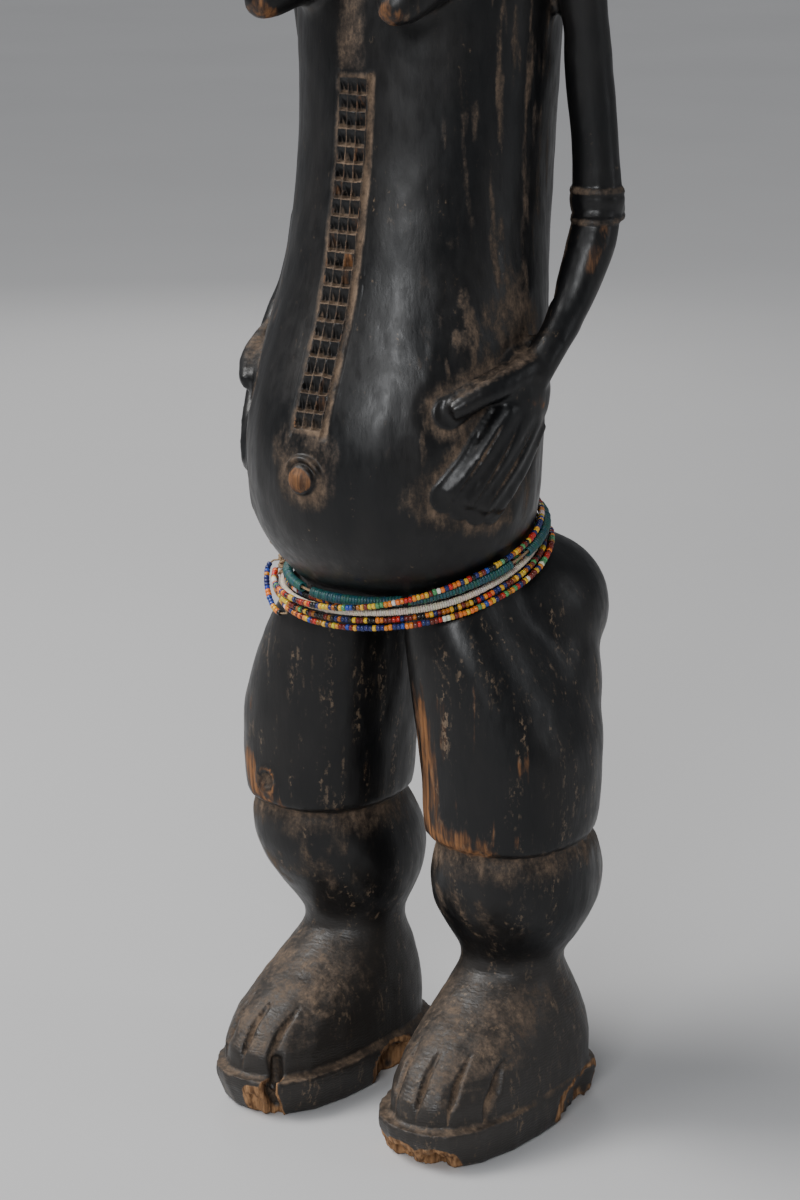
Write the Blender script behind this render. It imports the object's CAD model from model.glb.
import math
import random
from types import SimpleNamespace

import bmesh
import bpy
import numpy as np
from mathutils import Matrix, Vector
from mathutils.bvhtree import BVHTree


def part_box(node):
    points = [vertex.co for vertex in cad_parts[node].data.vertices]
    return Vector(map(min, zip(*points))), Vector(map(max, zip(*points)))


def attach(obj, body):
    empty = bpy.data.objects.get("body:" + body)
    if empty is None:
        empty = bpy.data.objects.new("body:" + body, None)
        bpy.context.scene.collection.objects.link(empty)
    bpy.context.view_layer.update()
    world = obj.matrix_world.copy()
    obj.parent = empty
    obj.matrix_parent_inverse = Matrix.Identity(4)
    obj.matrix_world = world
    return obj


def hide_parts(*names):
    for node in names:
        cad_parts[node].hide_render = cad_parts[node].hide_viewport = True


# The looks of a carved wooden figure that wears six strands of waist beads.
# The frame is in metres. The carving is worked on in millimetres, which suit its detail.
# The figure faces -Y, and its own left side is at +X.

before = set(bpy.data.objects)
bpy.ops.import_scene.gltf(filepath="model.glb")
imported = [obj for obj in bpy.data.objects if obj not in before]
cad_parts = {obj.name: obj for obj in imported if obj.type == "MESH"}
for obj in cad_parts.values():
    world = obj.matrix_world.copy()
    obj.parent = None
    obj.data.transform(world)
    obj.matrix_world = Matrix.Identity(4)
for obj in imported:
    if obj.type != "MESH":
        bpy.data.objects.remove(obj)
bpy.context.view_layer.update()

MM = 0.001
random.seed(20)
rng = np.random.default_rng(20)

# ---------------------------------------------------------------- numbers

CENTRE_Y = 6.0  # the crown's upright line is this far in front of the footprint's middle
AXIS_Y = 5.0 - CENTRE_Y  # strands' bearings are taken round the upright line through (0, AXIS_Y)
KNOT_BEARING = -165.0

SEED_R, SEED_LENGTH, SEED_HOLE = 1.5, 1.95, 0.55
DISC_R, DISC_LENGTH, DISC_HOLE = 1.8, 1.15, 0.6
TEAL_R, TEAL_LENGTH, TEAL_HOLE = 2.5, 1.5, 1.5
THREAD_R = 0.45
CORD_R = 0.7

# The slack loop's thread, from the lowest strand out beside the hip and up to the knot.
SLACK_ROUTE = [
    (-44.8, -40.4, 263.8), (-49.3, -39.9, 263), (-53.8, -38.4, 263.9), (-58.2, -36, 266.2),
    (-62.3, -33, 269.5), (-65.8, -29.6, 273.2), (-68.6, -26, 277), (-70.3, -22.4, 280.4),
    (-69.4, -19.6, 282.8), (-67, -18.3, 283.2),
]
# The knot's two loose ends.
LONG_TAIL = [(-66.5, -17, 285.8), (-69, -16, 288), (-71.5, -15.5, 289), (-75, -15, 291)]
SHORT_TAIL = [(-66, -19.9, 279.4), (-67.5, -20.5, 277.5), (-68.5, -21, 275)]

THIGH_FOOT = 153.0  # the height of the thighs' lower edge
CUFF_RIMS = (476.5, 463.0)  # the heights of the rims round each elbow

# The chip-carved column of scars down the front.
SCAR_TOP, SCAR_BOTTOM = 532.0, 371.0
SCAR_LENGTH = SCAR_TOP - SCAR_BOTTOM
SCAR_HALF = 7.85
SCAR_ROWS, SCAR_COLUMNS = 20, 3

NAVEL = (0.0, -85.0, 348.0)
NIPPLE = (38.0, -69.0, 562.0)

# The left hand's thumb, in three lengths, and its fingers, from root to tip with their radius.
DIGITS = [
    ((78, -4, 399), (74, -24, 393), 7.5), ((74, -24, 393), (67, -40, 387), 7.0),
    ((67, -40, 387), (59.5, -50, 381), 6.5), ((74, -21, 380), (58.5, -52, 341), 6.5),
    ((76, -13, 376), (63.5, -44.5, 336), 6.0), ((76, -5, 373), (67, -36, 332), 6.0),
    ((74, 2, 370), (69, -26.5, 331), 6.0),
]
# The cuts between the left toes, from the upper end to the lower end.
TOE_CUTS = [
    ((38, -45, 54), (39, -58, 43), (40, -72, 26)), ((53, -46, 56), (54, -58, 45), (55, -73, 26)),
    ((68, -42, 54), (69, -53, 44), (70, -66, 26)), ((80, -30, 50), (82, -41, 38), (81, -52, 25)),
]
TOE_CUT_DEPTH = 2.6
# The lines cut between the left hand's fingers.
FINGER_CUTS = [
    ((77, -28, 377), (76, -33, 371), (63.5, -52, 340)),
    ((79, -20, 374), (79, -24, 367.5), (65, -43, 333)),
    ((81, -9, 371), (81, -13, 365), (70, -36, 333)),
]
FINGER_CUT_DEPTH = 1.5
# Where the patina has rubbed away along the thighs' lower corners, and under the left elbow.
LEFT_RUB = [
    (32, -34, 228), (33, -33, 212), (30, -29, 190), (30, -27, 172), (35, -30, 160), (46, -33, 156),
    (62, -34, 155),
]
RIGHT_RUB = [(-78, -28, 176), (-74, -31, 165), (-69, -33, 158), (-60, -35, 155)]
ELBOW_RUB = [(94, 30, 458), (93, 20, 443)]
# Ragged round patches of dust and of worn patina: centre, radius, seed and strength of each.
DUST_PATCHES = [
    (67, 0, 412, 32, 9, 0.5), (-67, 0, 412, 32, 10, 0.5), (60, -26, 410, 20, 13, 0.3),
    (58, -54, 338, 26, 11, 0.5), (0, -84, 360, 26, 12, 0.4),
]
WEAR_PATCHES = [
    (38, -72, 561, 13, 2, 0.62), (-38, -72, 561, 17, 3, 0.62), (84, 26, 600, 22, 4, 0.7),
    (-84, 26, 600, 22, 5, 0.7), (84, -10, 382, 8, 7, 0.55),
]
KNOT_DENT = (-65, -34.5, 169)  # where a knot was cut at the right thigh's corner
# What has broken off the slabs: centre and radii of each loss.
CHIPS = [
    (24, -74, 3, 13, 16, 11), (45, -81, 2, 15, 19, 11), (66, -78, 2, 13, 20, 10),
    (-45, -81, 0, 9, 15, 17), (-12, 9, 7, 13, 17, 13), (100, 40, 4, 21, 36, 24),
    (-36.5, -74, 18, 2.5, 24, 24),
]
SPLIT_X = -36.5  # the split through the right slab and up between two toes

# ---------------------------------------------------------------- camera


def add_camera():
    data = bpy.data.cameras.new("camera")
    data.lens = 85
    data.sensor_width = 36
    azimuth, elevation, distance = math.radians(35), math.radians(16), 1.42
    target = Vector((0, -CENTRE_Y * MM, 0.27))
    towards = Vector((
        math.sin(azimuth) * math.cos(elevation),
        -math.cos(azimuth) * math.cos(elevation),
        math.sin(elevation),
    ))
    camera = bpy.data.objects.new("camera", data)
    camera.location = target + distance * towards
    camera.rotation_euler = towards.to_track_quat("Z", "Y").to_euler()
    bpy.context.scene.collection.objects.link(camera)
    bpy.context.scene.camera = camera


add_camera()

# ---------------------------------------------------------------- small tools


def step(low, high, value):
    """0 below low, 1 above high, and a smooth rise between. low may be the larger."""
    t = np.clip((value - low) / (high - low), 0, 1)
    return t * t * (3 - 2 * t)


def bands(value, middles, outer, inner):
    """1 within inner of any of the middles, and 0 beyond outer."""
    return sum(step(outer, inner, np.abs(value - middle)) for middle in middles)


def lattice(cells, seed):
    """A random number from 0 to 1 for each whole-number place, scattered by large primes."""
    x, y, z = (cells[:, k].astype(np.int64) for k in range(3))
    mixed = (x * 73856093) ^ (y * 19349663) ^ (z * 83492791) ^ (seed * 2654435761)
    mixed = (mixed ^ (mixed >> 13)) * 1274126177
    return ((mixed ^ (mixed >> 16)) & 0xFFFFFF) / 0xFFFFFF


def noise(points, size, seed, octaves=1):
    """Smooth noise from 0 to 1. size is one length, or one for each axis."""
    total, weight = 0.0, 0.0
    for octave in range(octaves):
        scaled = points / (np.array(size) / 2**octave)
        cell = np.floor(scaled)
        part = scaled - cell
        part = part * part * (3 - 2 * part)
        value = 0.0
        for corner in np.ndindex(2, 2, 2):
            offset = np.array(corner)
            share = np.prod(np.where(offset, part, 1 - part), axis=1)
            value = value + share * lattice(cell + offset, seed + octave)
        total = total + value / 2**octave
        weight += 1 / 2**octave
    return total / weight


def line_distance(points, start, end):
    """Each point's distance from a straight line, and how far along it the nearest place is."""
    a, b = np.array(start, float), np.array(end, float)
    along = np.clip((points - a) @ (b - a) / np.dot(b - a, b - a), 0, 1)
    nearest = a + along[:, None] * (b - a)
    return np.linalg.norm(points - nearest, axis=1), along


def mirrored(point):
    return (-point[0], *point[1:])


def add_piece(name, data, material, body, replaces=()):
    piece = bpy.data.objects.new(name, data)
    bpy.context.scene.collection.objects.link(piece)
    piece.data.materials.append(material)
    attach(piece, body)
    if replaces:
        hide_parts(*replaces)
    return piece


# ---------------------------------------------------------------- node materials


def new_material(name):
    """A material's node tree and its Principled shader."""
    material = bpy.data.materials.new(name)
    material.use_nodes = True
    tree = material.node_tree
    return material, tree, tree.nodes["Principled BSDF"]


def node(tree, kind, settings=None, **inputs):
    """Adds a shader node. An input's value is a number, a colour or another node's output."""
    made = tree.nodes.new("ShaderNode" + kind)
    for key, value in (settings or {}).items():
        setattr(made, key, value)
    for key, value in inputs.items():
        socket = made.inputs[int(key[1:])] if key[0] == "i" and key[1:].isdigit() else made.inputs[key]
        if isinstance(value, bpy.types.NodeSocket):
            tree.links.new(value, socket)
        else:
            socket.default_value = value
    return made


def attribute(tree, name):
    return node(tree, "Attribute", {"attribute_name": name}).outputs["Fac"]


def maths(tree, operation, a, b=0.0, clamp=False):
    return node(tree, "Math", {"operation": operation, "use_clamp": clamp}, i0=a, i1=b).outputs[0]


def mixed(tree, factor, a, b):
    made = node(tree, "Mix", {"data_type": "RGBA"}, i0=factor, i6=a, i7=b)
    return made.outputs[2]


def ramp(tree, value, low, high):
    """0 up to low, 1 from high."""
    made = node(tree, "MapRange", {"interpolation_type": "SMOOTHSTEP"}, i0=value, i1=low, i2=high)
    return made.outputs[0]


def texture(tree, scale, stretch=(1, 1, 1), detail=4.0, rough=0.55):
    """Noise in the object's own space. scale is in cells for each metre."""
    place = node(tree, "TexCoord").outputs["Object"]
    turned = node(tree, "Mapping", None, Vector=place, Scale=stretch).outputs[0]
    made = node(tree, "TexNoise", None, Vector=turned, Scale=scale, Detail=detail, Roughness=rough)
    return made.outputs[0]


def colour(red, green, blue):
    return (red, green, blue, 1.0)


def patinated_wood():
    """Dark satin patina over brown wood. Point attributes say where it is dusty, worn or broken."""
    material, tree, shader = new_material("patinated_wood")
    dust, wear, raw = (attribute(tree, name) for name in ("dust", "wear", "raw"))
    speckle, feet = attribute(tree, "speckle"), attribute(tree, "feet")
    cloud = texture(tree, 28, (1, 1, 0.5))
    mottle = texture(tree, 75, (1, 1, 0.8), 4, 0.55)
    grit = texture(tree, 620, (1, 1, 0.8), 6, 0.7)
    fine = texture(tree, 260, (1, 1, 0.35), 6)
    grain = texture(tree, 420, (1, 1, 0.06), 5)
    spots = texture(tree, 430, (1, 1, 0.65), 3, 0.65)
    scuffs = texture(tree, 150, (1, 1, 0.16), 5, 0.62)

    patina = mixed(tree, ramp(tree, cloud, 0.35, 0.7),
                   colour(0.0035, 0.0038, 0.0044), colour(0.0095, 0.0088, 0.0086))
    patina = mixed(tree, maths(tree, "MULTIPLY", feet, 0.8), patina, colour(0.032, 0.028, 0.025))
    brown = mixed(tree, ramp(tree, grain, 0.3, 0.7),
                  colour(0.035, 0.015, 0.007), colour(0.26, 0.115, 0.042))
    bare = mixed(tree, ramp(tree, grain, 0.3, 0.7),
                 colour(0.085, 0.038, 0.015), colour(0.38, 0.21, 0.1))

    def broken(amount, pattern, spread, low, high):
        """The amount with its edge broken up by a pattern."""
        shifted = maths(tree, "MULTIPLY", maths(tree, "SUBTRACT", pattern, 0.5), spread)
        edge = ramp(tree, maths(tree, "ADD", amount, shifted), low, high)
        return maths(tree, "MULTIPLY", edge, ramp(tree, amount, 0.04, 0.3))

    settled = maths(tree, "MULTIPLY", maths(tree, "ADD", maths(tree, "ADD", mottle, fine), grit), 1 / 3)
    powder = mixed(tree, ramp(tree, settled, 0.35, 0.65),
                   colour(0.045, 0.029, 0.018), colour(0.2, 0.138, 0.092))
    worn = broken(wear, scuffs, 2.0, 0.35, 0.85)
    bared = broken(raw, fine, 0.9, 0.3, 0.75)
    dusty = broken(dust, settled, 2.3, 0.1, 1.15)
    flecks = ramp(tree, maths(tree, "MULTIPLY", spots, maths(tree, "ADD", speckle, 0.45)), 0.67, 0.82)
    flecks = maths(tree, "MULTIPLY", flecks, ramp(tree, scuffs, 0.5, 0.7))

    base = mixed(tree, worn, patina, brown)
    base = mixed(tree, bared, base, bare)
    base = mixed(tree, maths(tree, "MULTIPLY", flecks, 0.8), base, colour(0.17, 0.12, 0.078))
    base = mixed(tree, maths(tree, "MULTIPLY", dusty, 0.85), base, powder)
    tree.links.new(base, shader.inputs["Base Color"])

    sheen = node(tree, "MapRange", None, i0=fine, i1=0.3, i2=0.7, i3=0.3, i4=0.46).outputs[0]
    matt = maths(tree, "MAXIMUM", dusty, bared)
    matt = maths(tree, "MAXIMUM", matt, maths(tree, "MULTIPLY", worn, 0.6))
    matt = maths(tree, "MAXIMUM", matt, maths(tree, "MULTIPLY", feet, 0.1))
    rough = node(tree, "MapRange", None, i0=matt, i1=0.0, i2=1.0, i3=sheen, i4=0.92).outputs[0]
    tree.links.new(rough, shader.inputs["Roughness"])
    shader.inputs["Specular IOR Level"].default_value = 0.34

    chatter = node(tree, "TexWave", {"wave_type": "BANDS", "bands_direction": "Z"},
                   Vector=node(tree, "TexCoord").outputs["Object"], Scale=190, Distortion=9, Detail=3)
    relief = maths(tree, "ADD", maths(tree, "MULTIPLY", fine, 0.5), maths(tree, "MULTIPLY", grain, 0.3))
    ridges = maths(tree, "MULTIPLY", maths(tree, "MULTIPLY", chatter.outputs[1], feet), 0.25)
    relief = maths(tree, "ADD", relief, ridges)
    relief = maths(tree, "ADD", relief, maths(tree, "MULTIPLY", dusty, fine))
    fibres = maths(tree, "MULTIPLY", grain, 1.5)
    relief = maths(tree, "ADD", relief, maths(tree, "MULTIPLY", bared, fibres))
    bump = node(tree, "Bump", None, Strength=0.4, Distance=0.0006, Height=relief)
    tree.links.new(bump.outputs[0], shader.inputs["Normal"])
    return material


def bead_finish(name, roughness, grime):
    """Beads coloured one by one, a little dirty between them."""
    material, tree, shader = new_material(name)
    own = node(tree, "Attribute", {"attribute_name": "bead_colour"}).outputs["Color"]
    dirt = texture(tree, 900, detail=3)
    soiled = maths(tree, "MULTIPLY", ramp(tree, dirt, 0.45, 0.75), grime)
    base = mixed(tree, soiled, own, colour(0.08, 0.055, 0.035))
    tree.links.new(base, shader.inputs["Base Color"])
    rough = node(tree, "MapRange", None, i0=dirt, i1=0.3, i2=0.8, i3=roughness, i4=roughness + 0.3)
    tree.links.new(rough.outputs[0], shader.inputs["Roughness"])
    bump = node(tree, "Bump", None, Strength=0.25, Distance=0.0002, Height=dirt)
    tree.links.new(bump.outputs[0], shader.inputs["Normal"])
    return material


def twisted_thread():
    """Matt tan cotton."""
    material, tree, shader = new_material("twisted_thread")
    fibres = texture(tree, 1500, (1, 1, 1), 4)
    base = mixed(tree, fibres, colour(0.12, 0.072, 0.036), colour(0.42, 0.3, 0.18))
    tree.links.new(base, shader.inputs["Base Color"])
    shader.inputs["Roughness"].default_value = 0.9
    bump = node(tree, "Bump", None, Strength=0.5, Distance=0.0002, Height=fibres)
    tree.links.new(bump.outputs[0], shader.inputs["Normal"])
    return material


WOOD = patinated_wood()
TEAL = bead_finish("turquoise_glass", 0.32, 0.35)
WHITE = bead_finish("white_discs", 0.42, 0.4)
GLASS = bead_finish("seed_glass", 0.16, 0.3)
THREAD = twisted_thread()

# ---------------------------------------------------------------- routes of the strands


class Route:
    """A smooth line through points, in millimetres, that can be asked for any place along it."""

    def __init__(self, points, fineness=16):
        p = np.array(points, float)
        p = np.vstack([2 * p[0] - p[1], p, 2 * p[-1] - p[-2]])
        t = np.linspace(0, 1, fineness, endpoint=False)[:, None]
        spans = [
            0.5 * (2 * b + (c - a) * t + (2 * a - 5 * b + 4 * c - d) * t**2
                   + (3 * b - a - 3 * c + d) * t**3)
            for a, b, c, d in zip(p, p[1:], p[2:], p[3:])
        ]
        self.points = np.vstack([*spans, p[-2:-1]])
        steps = np.linalg.norm(np.diff(self.points, axis=0), axis=1)
        self.distances = np.concatenate([[0], np.cumsum(steps)])
        self.length = self.distances[-1]

    def at(self, distance):
        return np.stack([np.interp(distance, self.distances, self.points[:, k]) for k in range(3)], -1)

    def along(self, distance):
        ahead = self.at(np.minimum(distance + 0.4, self.length)) - self.at(np.maximum(distance - 0.4, 0))
        return ahead / np.linalg.norm(ahead, axis=-1, keepdims=True)

    def evenly(self, spacing):
        return self.at(np.linspace(0, self.length, max(3, round(self.length / spacing) + 1)))


def bearings(points):
    """How far round the waist from the knot each point is, in degrees."""
    angle = np.degrees(np.arctan2(points[:, 1] - AXIS_Y, points[:, 0]))
    return (angle - KNOT_BEARING) % 360


def node_points(name):
    return np.unique(np.round([v.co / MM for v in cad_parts[name].data.vertices], 3), axis=0)


def node_route(name):
    """The middle line of a strand's solid, whose rings stand apart round the waist."""
    points = node_points(name)
    angle = bearings(points)
    order = np.argsort(angle)
    breaks = np.nonzero(np.diff(angle[order]) > 4)[0] + 1
    return Route([points[ring].mean(0) for ring in np.split(order, breaks)])


knot_low, knot_high = (np.array(corner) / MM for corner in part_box("binding_knot"))
KNOT = (knot_low + knot_high) / 2

# ---------------------------------------------------------------- threads


def curve_data(name, lines, radius):
    data = bpy.data.curves.new(name, "CURVE")
    data.dimensions = "3D"
    data.bevel_depth = radius * MM
    data.bevel_resolution = 2
    data.use_fill_caps = True
    for points in lines:
        spline = data.splines.new("POLY")
        spline.points.add(len(points) - 1)
        for spot, point in zip(spline.points, points):
            spot.co = (*(np.array(point) * MM), 1)
    return data


def sides_of(route, distance):
    """Two directions square to the route."""
    along = route.along(distance)
    out = np.cross(along, (0, 0, 1.0))
    out /= np.linalg.norm(out, axis=-1, keepdims=True)
    return out, np.cross(along, out)


def plies(route, radius, count=2, pitch=2.6):
    """The lines of a thread's twisted plies."""
    distance = np.linspace(0, route.length, max(8, round(route.length / 0.3)))
    out, up = sides_of(route, distance)
    lines = []
    for k in range(count):
        turn = 2 * math.pi * (distance / pitch + k / count)
        off = np.cos(turn)[:, None] * out + np.sin(turn)[:, None] * up
        lines.append(route.at(distance) + radius * 0.45 * off)
    return lines


def add_thread(name, route, radius, body, replaces=()):
    data = curve_data(name, plies(route, radius), radius * 0.58)
    return add_piece(name, data, THREAD, body, replaces)


slack_route = Route(SLACK_ROUTE)


def add_slack_thread():
    data = curve_data("slack_loop_thread", [slack_route.evenly(1.2)], THREAD_R)
    return add_piece("slack_loop_thread", data, THREAD, "slack_loop", ["slack_thread"])


slack_thread = add_slack_thread()

# ---------------------------------------------------------------- beads


def bead_shape(radius, hole, length, square, sides=14, rounds=10):
    """One bead round the Z axis, its section a rounded block. Returns points and faces."""
    middle, half = (radius + hole) / 2, (radius - hole) / 2
    turn = np.linspace(0, 2 * math.pi, rounds, endpoint=False) + math.pi / rounds
    c, s = np.cos(turn), np.sin(turn)
    reach = (np.abs(c) ** square + np.abs(s) ** square) ** (-1 / square)
    r, z = middle + half * c * reach, length / 2 * s * reach
    around = np.linspace(0, 2 * math.pi, sides, endpoint=False)
    points = np.stack([
        np.outer(np.cos(around), r), np.outer(np.sin(around), r), np.outer(np.ones(sides), z),
    ], -1).reshape(-1, 3)
    faces = [
        (i * rounds + j, (i + 1) % sides * rounds + j,
         (i + 1) % sides * rounds + (j + 1) % rounds, i * rounds + (j + 1) % rounds)
        for i in range(sides)
        for j in range(rounds)
    ]
    return points, np.array(faces)


def string_beads(name, route, start, end, shape, pitch, colours, loose=0.1):
    """A mesh of beads threaded along a route, each a little different from the next.

    loose is how far off the thread a bead sits, in millimetres.
    """
    count = int((end - start) / pitch)
    pitch = (end - start) / count
    distance = start + pitch * (np.arange(count) + 0.5)
    along = route.along(distance) + rng.normal(0, 0.06 * loose, (count, 3))
    along /= np.linalg.norm(along, axis=1, keepdims=True)
    out = np.cross(along, rng.normal(size=(count, 3)))
    out /= np.linalg.norm(out, axis=1, keepdims=True)
    up = np.cross(along, out)
    middle = route.at(distance) + rng.normal(0, loose, (count, 1)) * out
    points, faces = shape
    size = 1 + rng.normal(0, 0.035, (count, 1, 1))
    placed = middle[:, None] + size * (
        points[None, :, :1] * out[:, None] + points[None, :, 1:2] * up[:, None]
    ) + points[None, :, 2:] * along[:, None]
    mesh = bpy.data.meshes.new(name)
    every = (faces[None] + (np.arange(count) * len(points))[:, None, None]).reshape(-1, 4)
    mesh.from_pydata((placed.reshape(-1, 3) * MM).tolist(), [], every.tolist())
    mesh.shade_smooth()
    layer = mesh.color_attributes.new("bead_colour", "FLOAT_COLOR", "POINT")
    shades = np.repeat(np.array([(*colours(k), 1.0) for k in range(count)]), len(points), axis=0)
    layer.data.foreach_set("color", shades.astype(np.float32).ravel())
    return mesh


SEED_COLOURS = {
    "yellow": (0.72, 0.44, 0.03), "orange": (0.78, 0.21, 0.025), "navy": (0.012, 0.022, 0.13),
    "maroon": (0.16, 0.018, 0.012), "red": (0.5, 0.02, 0.012), "white": (0.72, 0.68, 0.6),
    "green": (0.08, 0.3, 0.11), "black": (0.008, 0.008, 0.009), "amber": (0.34, 0.12, 0.012),
    "blue": (0.02, 0.06, 0.33),
}


def seed_colours(**weights):
    """Beads picked at random by these weights, now and then two of one colour together."""
    names = list(weights)
    row = []
    while len(row) < 400:
        pick = random.choices(names, [weights[n] for n in names])[0]
        row += [SEED_COLOURS[pick]] * random.choice([1, 1, 1, 1, 2])
    return lambda k: tuple(c * random.uniform(0.8, 1.15) for c in row[k])


def shaded(base, spread):
    """Beads of one colour, some lighter and some darker."""
    return lambda k: tuple(c * random.uniform(1 - spread, 1 + spread) for c in base)


SEED = bead_shape(SEED_R, SEED_HOLE, SEED_LENGTH, 2.5)
DISC = bead_shape(DISC_R, DISC_HOLE, DISC_LENGTH, 3.2)
TEAL_DISC = bead_shape(TEAL_R, TEAL_HOLE, TEAL_LENGTH, 5.0, sides=18, rounds=12)

STRANDS = {
    "seed_a": seed_colours(
        yellow=4, orange=4, navy=5, white=2, maroon=3, green=2, black=3, amber=2, red=2, blue=2,
    ),
    "seed_b": seed_colours(yellow=2, navy=5, black=5, orange=2, amber=3, white=1, maroon=3, green=1),
    "seed_c": seed_colours(yellow=5, amber=4, maroon=4, black=4, navy=4, green=1, orange=2, red=1),
    "seed_d": seed_colours(
        yellow=3, orange=5, maroon=4, navy=5, white=2, green=1, amber=3, red=2, blue=1,
    ),
    "slack": seed_colours(orange=5, navy=6, yellow=2, white=2, blue=2, maroon=1, black=1),
}


def to_knot(route):
    """The route carried on at both ends into the knot."""
    points = list(route.points[::12]) + [route.points[-1]]
    start, end = (
        KNOT + np.array([1.0, 0, 0.25 * (point[2] - KNOT[2])]) for point in (points[0], points[-1])
    )
    return Route([start, *points, end])


def add_strands():
    for name in ("seed_a", "seed_b", "seed_c", "seed_d"):
        route = node_route(name + "_thread")
        mesh = string_beads(name, route, 0.3, route.length - 0.3, SEED,
                            SEED_LENGTH * 1.04, STRANDS[name])
        add_piece(name + "_bead_row", mesh, GLASS, "figure", [name + "_beads"])
        joined = to_knot(route)
        if name == "seed_d":  # the lowest strand's thread carries on into the slack loop
            joined = Route([*np.array(SLACK_ROUTE[:1]), *route.points[::12], KNOT])
        add_thread(name + "_twine", joined, THREAD_R, "figure", [name + "_thread"])
    route = node_route("white_disc_thread")
    mesh = string_beads("white_discs", route, 0.3, route.length - 0.3, DISC, DISC_LENGTH * 1.02,
                        shaded((0.62, 0.55, 0.45), 0.08), 0.05)
    add_piece("white_disc_row", mesh, WHITE, "figure", ["white_disc_beads"])
    add_thread("white_disc_twine", to_knot(route), THREAD_R, "figure", ["white_disc_thread"])


def add_turquoise():
    """The cord and its runs of discs, which end a little short so that they slide freely."""
    spare = 0.35
    cord = node_route("teal_cord")
    add_thread("turquoise_cord", to_knot(cord), CORD_R, "figure", ["teal_cord"])
    where = bearings(cord.points)
    runs = sorted(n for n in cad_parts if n.startswith("teal_bead_run"))
    for k, name in enumerate(runs, 1):
        angle = bearings(node_points(name))
        start, end = (np.interp(a, where, cord.distances) for a in (angle.min(), angle.max()))
        mesh = string_beads(name, cord, start + spare, end - spare, TEAL_DISC, TEAL_LENGTH * 1.02,
                            shaded((0.007, 0.074, 0.078), 0.25), 0.03)
        add_piece(f"turquoise_discs_{k}", mesh, TEAL, f"turquoise_run_{k}", [name])


def add_slack_beads():
    bare = 4.5  # the thread shows at both ends
    mesh = string_beads("slack_beads_row", slack_route, bare, slack_route.length - bare, SEED,
                        SEED_LENGTH * 1.04, STRANDS["slack"], 0.03)
    return add_piece("slack_bead_row", mesh, GLASS, "slack_loop", ["slack_beads"])


def add_knot():
    """The strands' ends wound together, with the turns crossing."""
    turn = np.linspace(0, 1, 160)
    half = (knot_high - knot_low) / 2 - 0.5
    lines = []
    for lean, turns, phase in ((0.9, 4.5, 0.0), (-0.7, 3.5, 1.7), (0.25, 2.5, 3.1)):
        angle = 2 * math.pi * turns * turn + phase
        height = np.clip(2 * turn - 1, -1, 1) * 0.72 + 0.12 * np.sin(angle + lean)
        belly = np.sqrt(1 - (height * 0.85) ** 2) * (0.78 + 0.14 * np.sin(3 * angle + phase))
        lines.append(KNOT + half * np.stack([belly * np.cos(angle), belly * np.sin(angle), height], -1))
    data = curve_data("knot", lines, 0.75)
    add_piece("knot_turns", data, THREAD, "figure", ["binding_knot"])


def add_tails():
    for which, points in (("long", LONG_TAIL), ("short", SHORT_TAIL)):
        add_thread(f"{which}_tail_thread", Route(points), THREAD_R * 0.8, f"{which}_tail",
                   [f"thread_tail_{which}"])


add_strands()
add_turquoise()
slack_beads = add_slack_beads()
add_knot()
add_tails()

# ---------------------------------------------------------------- the carving's skin

VOXEL = 2.1  # millimetres between points before the detailed places are made finer


def remeshed_copy(name):
    """An even skin over a copy of the CAD solid."""
    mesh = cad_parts[name].data.copy()
    piece = bpy.data.objects.new("carving", mesh)
    bpy.context.scene.collection.objects.link(piece)
    modifier = piece.modifiers.new("even", "REMESH")
    modifier.mode = "VOXEL"
    modifier.voxel_size = VOXEL * MM
    even = piece.evaluated_get(bpy.context.evaluated_depsgraph_get())
    piece.data = bpy.data.meshes.new_from_object(even)
    piece.modifiers.clear()
    return piece


def places(mesh):
    flat = np.empty(len(mesh.vertices) * 3, np.float32)
    mesh.vertices.foreach_get("co", flat)
    return flat.reshape(-1, 3).astype(float) / MM


def place(mesh, points):
    mesh.vertices.foreach_set("co", (points * MM).astype(np.float32).ravel())
    mesh.update()


def normals(mesh):
    flat = np.empty(len(mesh.vertices) * 3, np.float32)
    mesh.vertex_normals.foreach_get("vector", flat)
    return flat.reshape(-1, 3).astype(float)


def make_finer(mesh, chosen, cuts):
    """Divides the faces whose middle is chosen."""
    work = bmesh.new()
    work.from_mesh(mesh)
    middles = np.array([f.calc_center_median() for f in work.faces]) / MM
    mask = chosen(middles)
    faces = [f for f, wanted in zip(work.faces, mask) if wanted]
    edges = list({e for f in faces for e in f.edges})
    bmesh.ops.subdivide_edges(work, edges=edges, cuts=cuts, use_grid_fill=True)
    bmesh.ops.triangulate(work, faces=[f for f in work.faces if len(f.verts) > 4])
    work.to_mesh(mesh)
    work.free()


class Neighbours:
    """A mesh's edges, for averaging values over each point's neighbours."""

    def __init__(self, mesh):
        pairs = np.empty(len(mesh.edges) * 2, np.int32)
        mesh.edges.foreach_get("vertices", pairs)
        self.a, self.b = pairs.reshape(-1, 2).T
        self.size = len(mesh.vertices)
        self.count = self.total(np.ones(self.size))

    def total(self, values):
        return (np.bincount(self.a, values[self.b], self.size)
                + np.bincount(self.b, values[self.a], self.size))

    def mean(self, values):
        if values.ndim == 1:
            return self.total(values) / self.count
        return np.stack([self.mean(values[:, k]) for k in range(values.shape[1])], -1)


def relax(points, around, share, rounds, back=0.0):
    """Draws points towards their neighbours, and pushes them back out by a share of it."""
    for _ in range(rounds):
        points = points + share[:, None] * (around.mean(points) - points)
        if back:
            points = points - back * share[:, None] * (around.mean(points) - points)
    return points


def snap(points, tree, chosen):
    """Puts the chosen points on the CAD surface."""
    for k in np.nonzero(chosen)[0]:
        found = tree.find_nearest(Vector(points[k]) * MM)
        points[k] = np.array(found[0]) / MM
    return points


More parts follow.
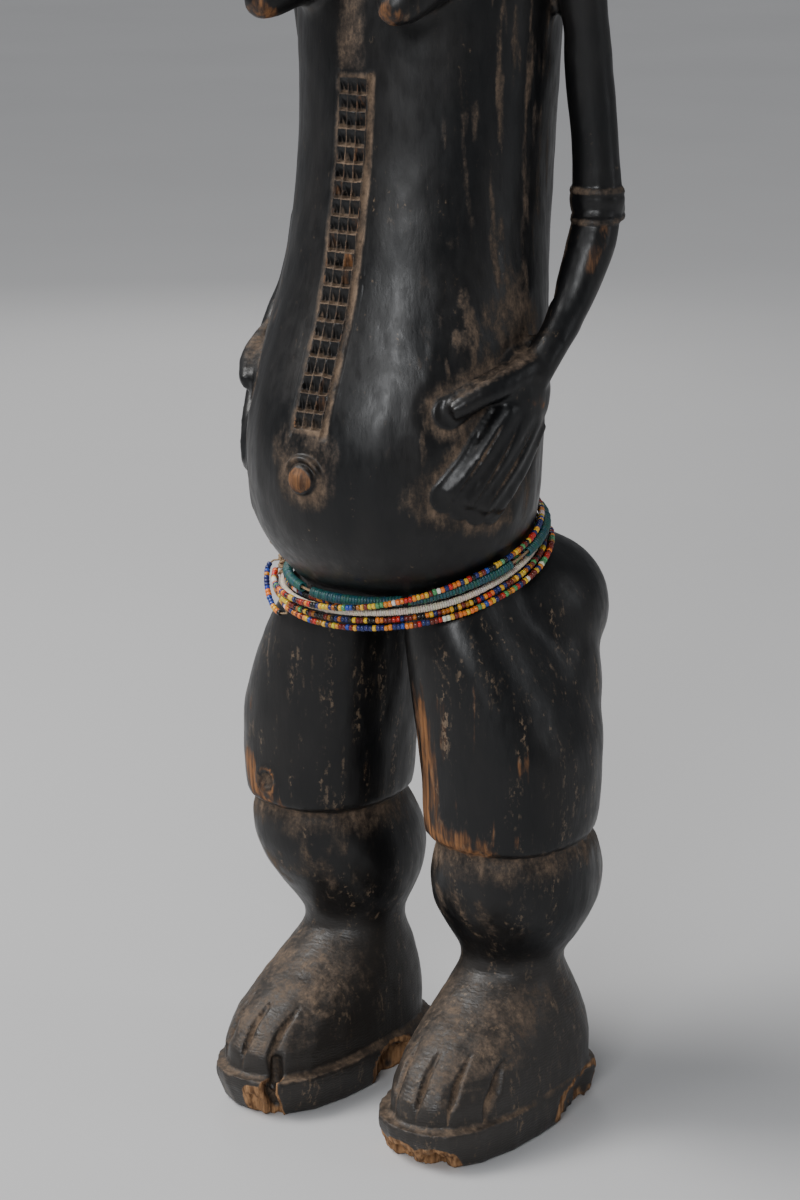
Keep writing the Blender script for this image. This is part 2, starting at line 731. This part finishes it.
def folded(p):
    """The points with the right side's moved to the left, where the hand's marks are given."""
    return np.column_stack([np.abs(p[:, 0]), p[:, 1:]])


def in_scars(p):
    x, y, z = p.T
    return (np.abs(x) < 14.5) & (y < -35) & (z > SCAR_BOTTOM - 7) & (z < SCAR_TOP + 7)


def in_navel(p):
    return np.linalg.norm(p - np.array(NAVEL), axis=1) < 19


def in_hands(p):
    x, y, z = p.T
    return (np.abs(x) > 44) & (y < 22) & (z > 322) & (z < 412)


def in_toes(p):
    _, y, z = p.T
    return (z < 62) & (y < -14)


def in_face(p):
    _, y, z = p.T
    return (z > 695) & (z < 790) & (y < 12)


def in_elbows(p):
    x, _, z = p.T
    return (np.abs(x) > 64) & (z > 450) & (z < 486)


def in_arms(p):
    x, _, z = p.T
    return (np.abs(x) > 66 + 5 * step(445, 412, z)) & (z > 400) & (z < 590)


def at_finger_ends(p):
    found = np.zeros(len(p), bool)
    for _, end, radius in DIGITS:
        found |= np.linalg.norm(folded(p) - np.array(end), axis=1) < radius + 3
    return found


carving = remeshed_copy("carved_figure")
cad_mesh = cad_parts["carved_figure"].data
cad_tree = BVHTree.FromPolygons(
    [v.co for v in cad_mesh.vertices], [tuple(f.vertices) for f in cad_mesh.polygons]
)


def keep_crisp(p):
    """How freely each point may be smoothed: little where the carver left an edge."""
    _, y, z = p.T
    edge = np.maximum.reduce([
        bands(z, [THIGH_FOOT], 9, 4) * 0.95,
        step(30, 24, z),
        in_hands(p) * 0.97,
        in_elbows(p) * 0.95,
        in_face(p) * 0.8,
        step(60, 50, z) * step(-10, -30, y) * 0.9,
        step(12, 8, np.linalg.norm(p - np.array(NAVEL), axis=1)) * 0.55,
        step(10, 5, np.linalg.norm(np.abs(p) - np.abs(NIPPLE), axis=1)) * 0.8,
    ])
    return 1 - edge


def smooth_broadly():
    p = places(carving.data)
    around = Neighbours(carving.data)
    free = around.mean(around.mean(keep_crisp(p)))
    arms = step(63, 68, np.abs(p[:, 0])) * step(400, 410, p[:, 2])
    p = relax(p, around, 0.55 * free * (1 - 0.55 * arms), 26, 0.35)
    p = relax(p, around, 0.5 * free * (1 - 0.7 * arms), 8)
    place(carving.data, p)


def refine():
    """More points where the detail is, put back on the solid where the smoothing blurred it."""
    mesh = carving.data
    make_finer(mesh, in_scars, 4)
    make_finer(mesh, in_navel, 3)
    make_finer(mesh, lambda p: in_hands(p) | in_toes(p) | in_face(p) | in_elbows(p), 1)
    p = places(mesh)
    sharp = in_hands(p) | in_toes(p) | in_elbows(p) | in_arms(p) | (p[:, 2] < 24)
    p = snap(p, cad_tree, sharp)
    around = Neighbours(mesh)
    share = around.mean(around.mean(sharp * 0.5))
    p = relax(p, around, share, 5, 0.3)
    p = relax(p, around, around.mean((in_hands(p) | in_arms(p)) * 0.5), 12, 0.35)
    p = relax(p, around, around.mean(around.mean(in_toes(p) * (p[:, 2] > 26) * 0.6)), 14, 0.4)
    place(mesh, relax(p, around, around.mean(at_finger_ends(p) * 0.6), 10))


smooth_broadly()
refine()

# ---------------------------------------------------------------- carved detail


def scar_cells(p):
    """The chip-carved column: how deep each point lies, and how dusty and brown it is."""
    across = p[:, 0]
    wobble = (noise(p, 9, 5) - 0.5) * 0.9
    down = SCAR_TOP - p[:, 2] + wobble
    pitch = SCAR_LENGTH / SCAR_ROWS
    row = np.floor(down / pitch)
    t = down / pitch - row
    width = 2 * SCAR_HALF / SCAR_COLUMNS
    column = np.clip(np.floor((across + SCAR_HALF) / width), 0, SCAR_COLUMNS - 1)
    off_wall = (across + SCAR_HALF) - column * width
    off_wall = np.minimum(off_wall, width - off_wall)
    luck = lattice(np.stack([row, column, row * 0], -1), 77)
    deepest = 2.5 + 1.1 * luck
    floor = deepest * np.where(t < 0.78, 0.1 + 0.9 * step(0.0, 0.78, t), step(1.0, 0.82, t))
    cell = floor * step(0.1, 0.8, off_wall)
    inside = step(SCAR_HALF + 0.3, SCAR_HALF - 0.3, np.abs(across)) * step(0, 0.8, down)
    inside = inside * step(0, 0.8, SCAR_LENGTH - down)
    in_length = step(-5, 0, down) * step(-5, 0, SCAR_LENGTH - down)
    right_side = step(SCAR_HALF, SCAR_HALF + 0.5, across) * step(13.5, 10.0, across)
    left_side = step(-SCAR_HALF, -SCAR_HALF - 0.5, across) * step(-11.5, -9.0, across)
    channel = in_length * (1.3 * right_side + 0.9 * left_side)
    depth = inside * cell + (1 - inside) * channel
    ledge = inside * np.maximum(step(0.7, 0.82, t), step(0.45, 0.1, off_wall) * 0.75)
    rim = bands(down, (0, SCAR_LENGTH), 4, 0.5) * (1 - inside)
    rim = rim * step(SCAR_HALF + 3, SCAR_HALF, np.abs(across))
    patchy = 0.45 + 0.7 * noise(p, (5, 5, 12), 61, 2)
    dust = np.maximum.reduce([ledge * (0.85 + 0.3 * luck), channel / 1.3 * patchy * 1.2, rim * 0.9])
    brown = inside * (1 - ledge) * np.where(column == 1, 0.03, 0.12 + 0.42 * luck**2)
    return depth, dust, brown


def navel_relief(p):
    """The navel's knob, the soft hollow round it and a lid-like ridge over it."""
    away = p - np.array(NAVEL)
    reach = np.hypot(away[:, 0], away[:, 2])
    near = step(26, 20, np.linalg.norm(away, axis=1)) * (p[:, 1] < NAVEL[1] + 8)
    knob = step(8.5, 5.5, reach) * near
    hollow = step(6.5, 9.5, reach) * step(17.0, 10.0, reach) * near
    lid = step(7.5, 9.5, reach) * step(12.5, 10, reach) * step(1, 6, away[:, 2]) * near
    soil = step(6.0, 9.5, reach) * step(21, 9, reach) * near * (0.35 + 0.75 * noise(p, 9, 91, 2))
    return 0.5 * hollow * (1 - lid) - 1.9 * lid - 1.3 * knob, soil, step(6.8, 4.8, reach) * near


def groove(p, route, width, depth, out):
    """A groove along a route as seen from the direction out, widest and deepest at its middle."""
    out = np.array(out, float) / np.linalg.norm(out)
    flat = p - (p @ out)[:, None] * out
    line = np.array(route, float)
    near_side = step(-14, -8, (p - line.mean(0)) @ out)
    line = line - (line @ out)[:, None] * out
    lengths = np.linalg.norm(np.diff(line, axis=0), axis=1)
    reach, share, passed = np.full(len(p), 1e9), np.zeros(len(p)), 0.0
    for start, end, length in zip(line, line[1:], lengths):
        away, along = line_distance(flat, start, end)
        share = np.where(away < reach, (passed + along * length) / lengths.sum(), share)
        reach = np.minimum(reach, away)
        passed += length
    lens = np.sin(np.pi * np.clip(share, 0.03, 0.97)) ** 0.6
    return depth * lens * near_side * step(width / 2 * lens, 0.1 * width * lens, reach)


def both_sides(p, routes, width, depth, out):
    """The same grooves on the figure's left and right."""
    total = np.zeros(len(p))
    for route in routes:
        opposite = [mirrored(point) for point in route]
        total = np.maximum(total, groove(p, route, width, depth, out))
        total = np.maximum(total, groove(p, opposite, width, depth, mirrored(out)))
    return total


def hand_marks(p):
    """How near the belly is to a hand, and how surely a point is on one."""
    near = np.zeros(len(p))
    on_hand = np.zeros(len(p))
    side = folded(p)
    for start, end, radius in [*DIGITS, ((81, 12, 418), (78, -8, 390), 9.0)]:
        away, _ = line_distance(side, start, end)
        near = np.maximum(near, step(radius + 13, radius + 2.5, away))
        on_hand = np.maximum(on_hand, step(radius + 2.4, radius + 1.2, away))
    palm = np.linalg.norm((side - np.array([74, -7, 385])) / np.array([11.5, 19, 23]), axis=1)
    on_hand = np.maximum(on_hand, step(1.12, 1.0, palm))
    on_belly = step(77, 72, np.abs(p[:, 0]))
    return near * (1 - on_hand) * on_belly, on_hand


def knot_dent(p):
    """A round dent, and the low rim round it."""
    away = np.linalg.norm(p - np.array(KNOT_DENT), axis=1)
    return step(5.5, 3.0, away), step(8.5, 6.8, away) * step(4.6, 6.2, away)


def rubbed(p, route, core, spread):
    """Wear along a rubbed corner: whole in the middle and patchy to its sides."""
    reach = np.full(len(p), 1e9)
    for start, end in zip(route, route[1:]):
        reach = np.minimum(reach, line_distance(p, start, end)[0])
    return np.maximum(step(core, core * 0.3, reach) * 0.95, step(spread, core, reach) * 0.55)


def losses(p):
    """How nearly each point lies on the broken wood of a loss."""
    most = np.zeros(len(p))
    for x, y, z, rx, ry, rz in CHIPS:
        scaled = (p - np.array([x, y, z])) / np.array([rx, ry, rz])
        scaled = scaled * (1 + 0.12 * (noise(p, 5, 71, 2)[:, None] - 0.5))
        off = np.abs(np.linalg.norm(scaled, axis=1) - 1) * min(rx, ry, rz)
        most = np.maximum(most, step(2.6, 0.8, off))
    return most * step(24, 19, p[:, 2])


def patches(p, table):
    """How strongly each point lies in the ragged round patches of a table."""
    most = np.zeros(len(p))
    for x, y, z, radius, seed, strength in table:
        away = np.linalg.norm(p - np.array([x, y, z]), axis=1)
        ragged = (noise(p, radius * 0.6, 40 + seed, 2) - 0.5) * radius
        most = np.maximum(most, step(radius, radius * 0.35, away + ragged) * strength)
    return most


def on_arms(p):
    return step(64, 69, np.abs(p[:, 0])) * step(395, 405, p[:, 2])


def on_front(p):
    return step(10, -20, p[:, 1])


def blotches(p):
    """Broad soft blotches."""
    return noise(p, 16, 25, 3)


def streaks(p):
    """Thin upright streaks."""
    return noise(p, (3.2, 3.2, 30), 21, 3)


def carve(mesh, around):
    """Sinks the skin by the depth of every cut. Returns its points, and where each mark is."""
    p, n = places(mesh), normals(mesh)
    for _ in range(3):
        n = around.mean(n)
    n /= np.linalg.norm(n, axis=1, keepdims=True)
    x, y, z = p.T

    scars = in_scars(p)
    scar_depth, scar_dust, scar_brown = (values * scars for values in scar_cells(p))
    navel_depth, navel_dust, navel_tip = navel_relief(p)
    toes = both_sides(p, TOE_CUTS, 4.6, TOE_CUT_DEPTH, (0.1, -0.75, 0.65))
    fingers = both_sides(p, FINGER_CUTS, 2.4, FINGER_CUT_DEPTH, (0.9, -0.42, 0.1))
    recess, on_hand = hand_marks(p)
    dent, dent_rim = knot_dent(p)
    slit = bands(x, [SPLIT_X], 2.8, 1.3) * step(-60, -66, y) * step(36, 30, z)
    raw = losses(p) * (1 - slit)
    rims = bands(z, CUFF_RIMS, 2.0, 0.8) * step(66, 69, np.abs(x))

    above_slabs = step(24, 40, z)
    tool_marks = (noise(p, (11, 11, 19), 3, 2) - 0.5) * 0.85 * above_slabs
    tool_marks = tool_marks * (1 - scars) * (1 - 0.8 * on_hand)
    chatter = (noise(p, (9, 9, 2.6), 8, 2) - 0.5) * 0.5 * step(95, 75, z) * above_slabs
    splinters = raw * (noise(p, (2.6, 2.6, 7), 11, 2) - 0.5) * 3.4
    worn_edge = (noise(p, 10, 15, 2) - 0.5) * 0.6 * step(26, 20, z)
    depth = (
        scar_depth + navel_depth + toes + fingers + recess * 1.2 + tool_marks + chatter + splinters
        + worn_edge - 0.8 * rims + 7 * slit + 2.2 * dent - 0.7 * dent_rim
    )
    p = p - depth[:, None] * n
    p[:, 2] = np.maximum(p[:, 2], 0)
    place(mesh, p)
    return p, SimpleNamespace(
        scar_dust=scar_dust, scar_brown=scar_brown, navel_dust=navel_dust, navel_tip=navel_tip,
        toes=toes / TOE_CUT_DEPTH, fingers=fingers / FINGER_CUT_DEPTH, recess=recess,
        on_hand=on_hand, dent=dent, dent_rim=dent_rim, raw=raw,
    )


def dust_on(p, n, cut, hollow, basin):
    """How dusty each point is: dust gathers in cuts, creases and hollows, and on ledges."""
    x, y, z = p.T
    facing_up = n[:, 2]
    blotch, front, arms = blotches(p), on_front(p), on_arms(p)
    ragged = step(0.42, 0.75, noise(p, (9, 9, 15), 45, 3))
    off_hand = (1 - cut.on_hand) * step(77, 72, np.abs(x))
    inward = -0.82 * np.sign(x) * n[:, 0] - 0.57 * n[:, 1]
    inner_edge = arms * step(484, 474, z) * step(0.8, 0.97, inward)
    cuff_rims = arms * bands(z, (CUFF_RIMS[0] + 0.5, CUFF_RIMS[1] - 0.5), 2.4, 0.8)
    waist = step(300, 340, z) * step(610, 560, z) * (1 - arms) * (1 - 0.85 * cut.on_hand)
    flanks = (step(30, 56, x) + step(-30, -56, x)) * waist * step(60, 10, y)
    sternum = step(12, 3, np.abs(x + 2)) * step(532, 538, z) * step(610, 570, z) * front
    slab_tops = step(0.35, 0.75, facing_up) * step(29, 24, z) * step(14, 18, z)
    crease = step(THIGH_FOOT + 3, THIGH_FOOT - 1, z) * step(THIGH_FOOT - 21, THIGH_FOOT - 4, z)
    shins = step(THIGH_FOOT - 1, THIGH_FOOT - 7, z) * step(92, 104, z) * front * 0.6
    instep = step(98, 66, z) * step(0.05, 0.75, facing_up)
    hand_tops = cut.on_hand * step(0.55, 0.95, facing_up) * step(376, 398, z)
    return np.maximum.reduce([
        cut.scar_dust,
        cut.navel_dust,
        cut.toes,
        cut.fingers * 0.75,
        cut.dent * 0.45,
        cut.dent_rim * 0.3,
        cut.recess * (0.42 + 0.5 * blotch),
        patches(p, DUST_PATCHES) * off_hand,
        sternum * (0.3 + 0.75 * blotch),
        flanks * step(0.46, 0.76, streaks(p)) * 0.65,
        inner_edge * (0.25 + 0.6 * blotch),
        cuff_rims * (0.2 + 0.6 * blotch),
        hand_tops * (0.4 + 0.5 * blotch),
        crease * (0.2 + 0.75 * blotch),
        shins * (0.1 + 0.75 * ragged),
        instep * (0.05 + 0.35 * blotch + 0.5 * noise(p, 6, 35, 2)),
        slab_tops * (0.3 + 0.75 * blotch),
        step(0.10, 0.55, hollow) * 0.75 * (1 - 0.7 * arms) * (1 - 0.7 * cut.on_hand),
        step(-0.28, -0.7, hollow) * 0.5 * arms,
        step(1.0, 3.6, basin) * 0.4 * (1 - arms),
    ]) * (1 - 0.8 * cut.raw)


def wear_on(p, cut, hollow):
    """How far the patina has rubbed through to brown wood at each point."""
    z = p[:, 2]
    thighs = step(THIGH_FOOT - 1.5, THIGH_FOOT + 0.5, z)
    mid_thighs = step(150, 165, z) * step(262, 240, z)
    return np.maximum.reduce([
        cut.scar_brown,
        cut.navel_tip * 0.75,
        patches(p, WEAR_PATCHES),
        rubbed(p, LEFT_RUB, 7.5, 20) * thighs,
        rubbed(p, RIGHT_RUB, 4.5, 12) * thighs,
        rubbed(p, ELBOW_RUB, 3.5, 8) * 0.8,
        step(0.62, 0.8, streaks(p)) * mid_thighs * on_front(p) * 0.5,
        step(-0.3, -0.8, hollow) * 0.6 * (1 - on_arms(p)),
    ])


def carve_and_mark():
    """The carved depth, and the values at each point that the wood's material reads."""
    mesh = carving.data
    around = Neighbours(mesh)
    p, cut = carve(mesh, around)
    n = normals(mesh)
    share = np.full(len(p), 0.6)
    near = relax(p, around, share, 6)
    broad = relax(near, around, share, 40)
    hollow = ((near - p) * n).sum(1)
    basin = ((broad - p) * n).sum(1)
    layers = {
        "dust": dust_on(p, n, cut, hollow, basin),
        "wear": wear_on(p, cut, hollow),
        "raw": cut.raw,
        "speckle": 0.43 + 0.38 * blotches(p) + 0.24 * step(300, 250, p[:, 2]),
        "feet": step(100, 72, p[:, 2]),
    }
    for name, values in layers.items():
        layer = mesh.attributes.new(name, "FLOAT", "POINT")
        layer.data.foreach_set("value", np.clip(values, 0, 1).astype(np.float32))
    mesh.shade_smooth()


carve_and_mark()
carving.data.materials.clear()
carving.data.materials.append(WOOD)
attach(carving, "figure")
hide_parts("carved_figure")

# ---------------------------------------------------------------- stage


def add_floor():
    material, tree, shader = new_material("pale_floor")
    base = mixed(tree, texture(tree, 1.5, detail=3), colour(0.5, 0.5, 0.505), colour(0.56, 0.56, 0.565))
    tree.links.new(base, shader.inputs["Base Color"])
    shader.inputs["Roughness"].default_value = 0.85
    half = 60.0
    corners = [(-half, -half, 0), (half, -half, 0), (half, half, 0), (-half, half, 0)]
    mesh = bpy.data.meshes.new("floor")
    mesh.from_pydata(corners, [], [(0, 1, 2, 3)])
    floor = bpy.data.objects.new("floor", mesh)
    floor.data.materials.append(material)
    bpy.context.scene.collection.objects.link(floor)


def add_light(name, place_at, size, power, tint=(1, 1, 1), look_at=(0, 0, 0.4)):
    data = bpy.data.lights.new(name, "AREA")
    data.shape = "RECTANGLE"
    data.size, data.size_y = size
    data.energy = power
    data.color = tint
    light = bpy.data.objects.new(name, data)
    light.location = place_at
    light.rotation_euler = (Vector(place_at) - Vector(look_at)).to_track_quat("Z", "Y").to_euler()
    bpy.context.scene.collection.objects.link(light)


def add_sun():
    """A wide, soft sun, which lights the floor evenly."""
    data = bpy.data.lights.new("sun", "SUN")
    data.energy = 1.25
    data.angle = math.radians(40)
    light = bpy.data.objects.new("sun", data)
    light.rotation_euler = Vector((-0.55, -0.6, 1.0)).to_track_quat("Z", "Y").to_euler()
    bpy.context.scene.collection.objects.link(light)


def add_world():
    world = bpy.data.worlds.new("studio")
    world.use_nodes = True
    background = world.node_tree.nodes["Background"]
    background.inputs[0].default_value = (0.8, 0.82, 0.86, 1)
    background.inputs[1].default_value = 0.24
    bpy.context.scene.world = world


add_floor()
add_world()
add_sun()
add_light("key", (0.85, -2.0, 1.4), (0.9, 0.55), 30, (0.97, 0.985, 1.0))
add_light("upper_left", (-1.25, -0.7, 1.9), (1.0, 1.0), 38, (1.0, 0.98, 0.95))
add_light("left_rim", (-1.4, 1.6, 1.2), (0.6, 1.5), 6, (1.0, 0.98, 0.95))
add_light("right_rim", (2.0, 0.9, 1.1), (0.5, 1.5), 5, (0.95, 0.97, 1.0))
